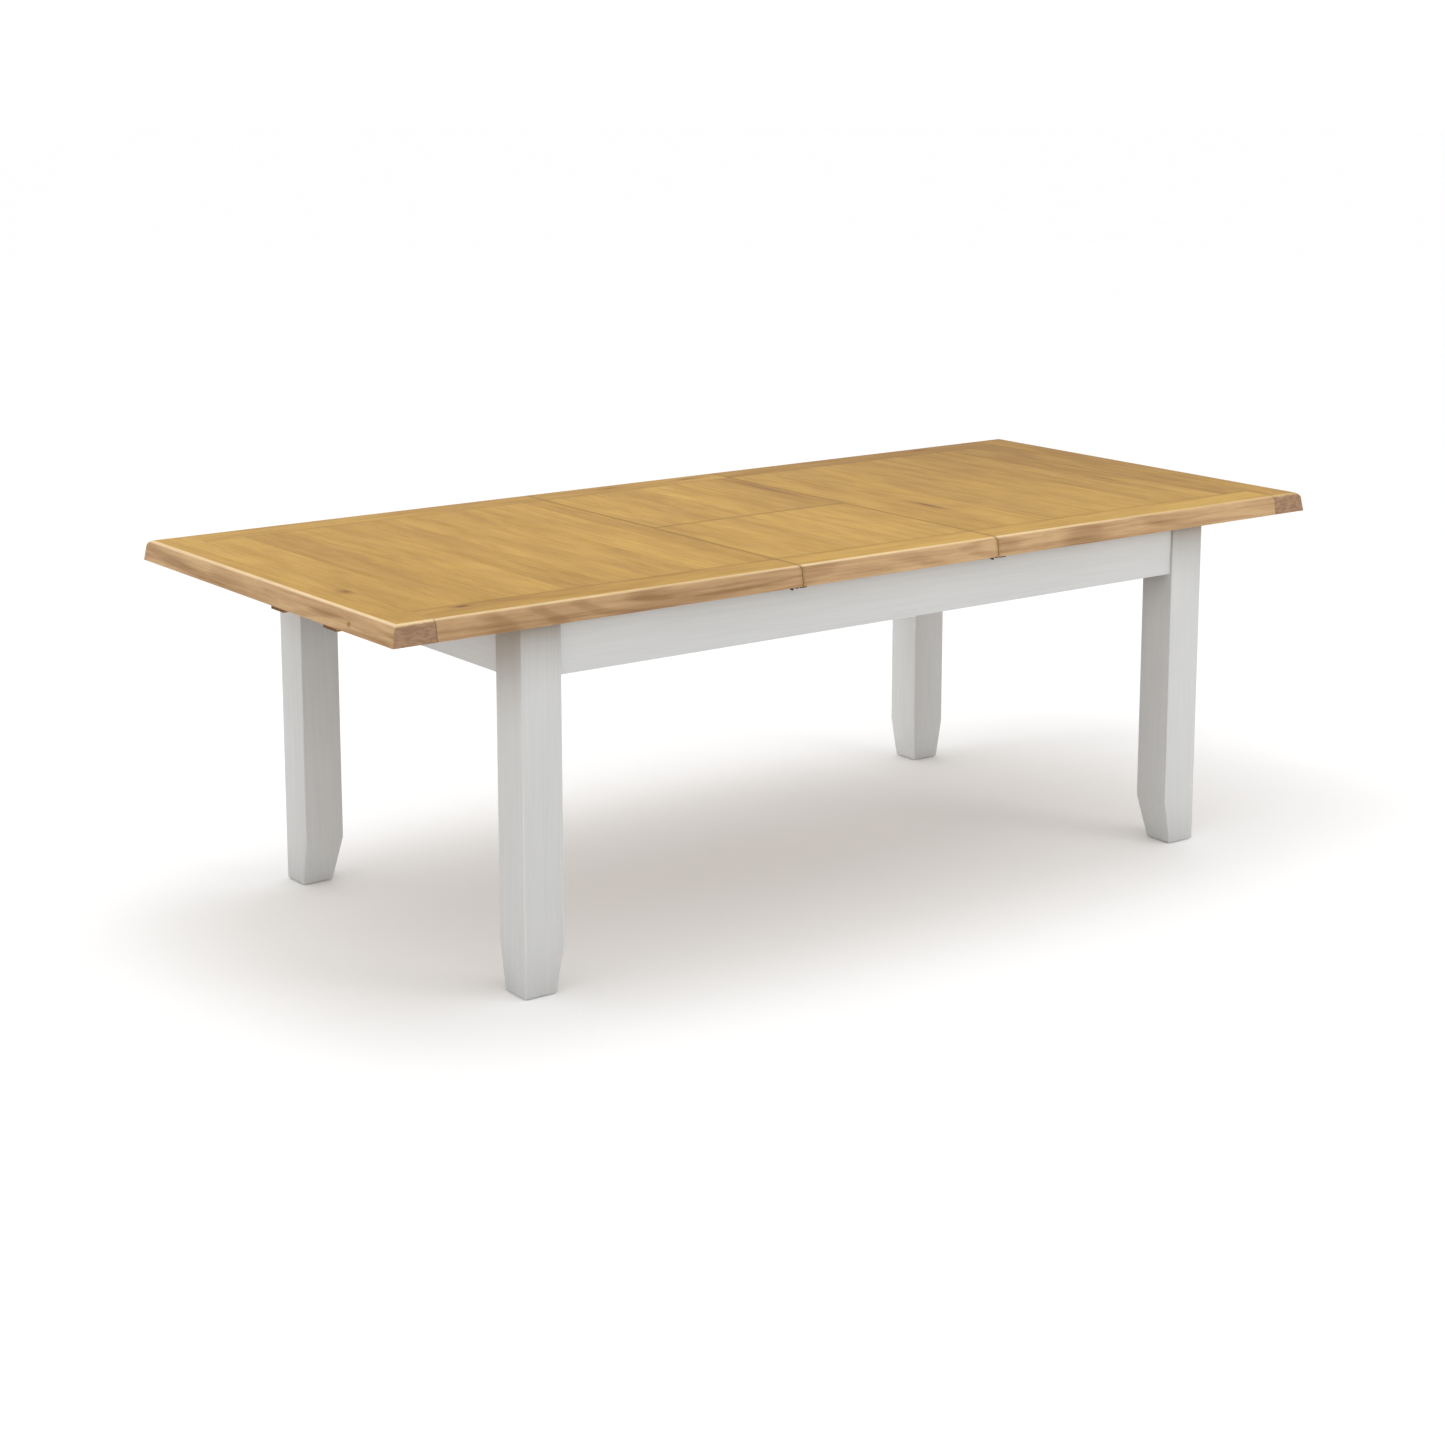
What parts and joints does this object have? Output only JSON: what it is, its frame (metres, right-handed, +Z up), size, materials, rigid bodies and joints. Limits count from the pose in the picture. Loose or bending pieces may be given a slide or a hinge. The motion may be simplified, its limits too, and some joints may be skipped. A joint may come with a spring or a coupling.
{
  "type": "extendable dining table",
  "caption": "Rectangular dining table with an oak top on a painted frame with square legs; the top halves slide apart on wooden runners around a folding centre leaf.",
  "frame": {"origin": "on the floor, under the middle of the table drawn out with its leaf in", "axes": "+X along the table towards its right end, +Y across the table away from the viewer, +Z up"},
  "size_m": [2.3, 1, 0.75],
  "materials": {
    "oak": "satin lacquer",
    "grey_paint": "satin paint",
    "frame_wood": "matt",
    "zinc_steel": "zinc plated",
    "bronze": "dark bronzed",
    "nylon": "matt"
  },
  "bodies": {
    "frame": {"leg_front_left": "grey_paint", "leg_front_right": "grey_paint", "leg_back_left": "grey_paint", "leg_back_right": "grey_paint", "apron_front": "grey_paint", "apron_back": "grey_paint", "apron_left_end": "grey_paint", "apron_right_end": "grey_paint", "corner_block_front_left": "frame_wood", "corner_block_front_right": "frame_wood", "corner_block_back_left": "frame_wood", "corner_block_back_right": "frame_wood", "leg_bolts": "zinc_steel", "leg_bolt_washers": "zinc_steel", "leg_bolt_nuts": "zinc_steel", "block_screws": "zinc_steel", "foot_glides": "nylon", "cross_rail_left": "frame_wood", "cross_rail_right": "frame_wood", "guide_front_outer": "frame_wood", "guide_front_inner": "frame_wood", "guide_back_inner": "frame_wood", "guide_back_outer": "frame_wood", "guide_screws": "zinc_steel", "glide_strip_front": "nylon", "glide_strip_back": "nylon"},
    "left_top": {"left_end_board": "oak", "left_front_rail": "oak", "left_back_rail": "oak", "left_panel": "oak", "left_seam_strip": "frame_wood", "left_front_runner": "frame_wood", "left_back_runner": "frame_wood", "left_runner_screws": "zinc_steel", "left_stop_pins": "zinc_steel", "left_catch_screws": "bronze"},
    "right_top": {"right_end_board": "oak", "right_front_rail": "oak", "right_back_rail": "oak", "right_panel": "oak", "right_seam_strip": "frame_wood", "right_front_runner": "frame_wood", "right_back_runner": "frame_wood", "right_runner_screws": "zinc_steel", "right_stop_pins": "zinc_steel", "right_catch_screws": "bronze"},
    "back_leaf": {"leaf_back_rail": "oak", "leaf_back_panel": "oak", "leaf_back_fold_strip": "frame_wood", "leaf_back_barrels": "bronze"},
    "front_leaf": {"leaf_front_rail": "oak", "leaf_front_panel": "oak", "leaf_front_fold_strip": "frame_wood", "leaf_front_barrels": "bronze"},
    "left_front_catch": {"left_front_catch": "bronze"},
    "left_back_catch": {"left_back_catch": "bronze"},
    "right_front_catch": {"right_front_catch": "bronze"},
    "right_back_catch": {"right_back_catch": "bronze"}
  },
  "joints": [
    {"name": "left_top_slide", "type": "slide", "parent": "frame", "child": "left_top", "axis": [-1, 0, 0], "range_m": [0, 0.045]},
    {"name": "right_top_slide", "type": "slide", "parent": "frame", "child": "right_top", "axis": [1, 0, 0], "range_m": [0, 0.045]},
    {"name": "leaf_lift", "type": "slide", "parent": "frame", "child": "back_leaf", "axis": [0, 0, 1], "range_m": [0, 0.11]},
    {"name": "leaf_fold", "type": "hinge", "parent": "back_leaf", "child": "front_leaf", "pos_m": [0, 0, 0.75025], "axis": [-1, 0, 0], "range_deg": [0, 180]},
    {"name": "left_front_catch_turn", "type": "hinge", "parent": "left_top", "child": "left_front_catch", "pos_m": [-0.256, -0.486, 0.7088], "axis": [0, 0, 1], "range_deg": [0, 90]},
    {"name": "left_back_catch_turn", "type": "hinge", "parent": "left_top", "child": "left_back_catch", "pos_m": [-0.256, 0.486, 0.7088], "axis": [0, 0, -1], "range_deg": [0, 90]},
    {"name": "right_front_catch_turn", "type": "hinge", "parent": "right_top", "child": "right_front_catch", "pos_m": [0.256, -0.486, 0.7088], "axis": [0, 0, 1], "range_deg": [0, 90]},
    {"name": "right_back_catch_turn", "type": "hinge", "parent": "right_top", "child": "right_back_catch", "pos_m": [0.256, 0.486, 0.7088], "axis": [0, 0, -1], "range_deg": [0, 90]}
  ]
}
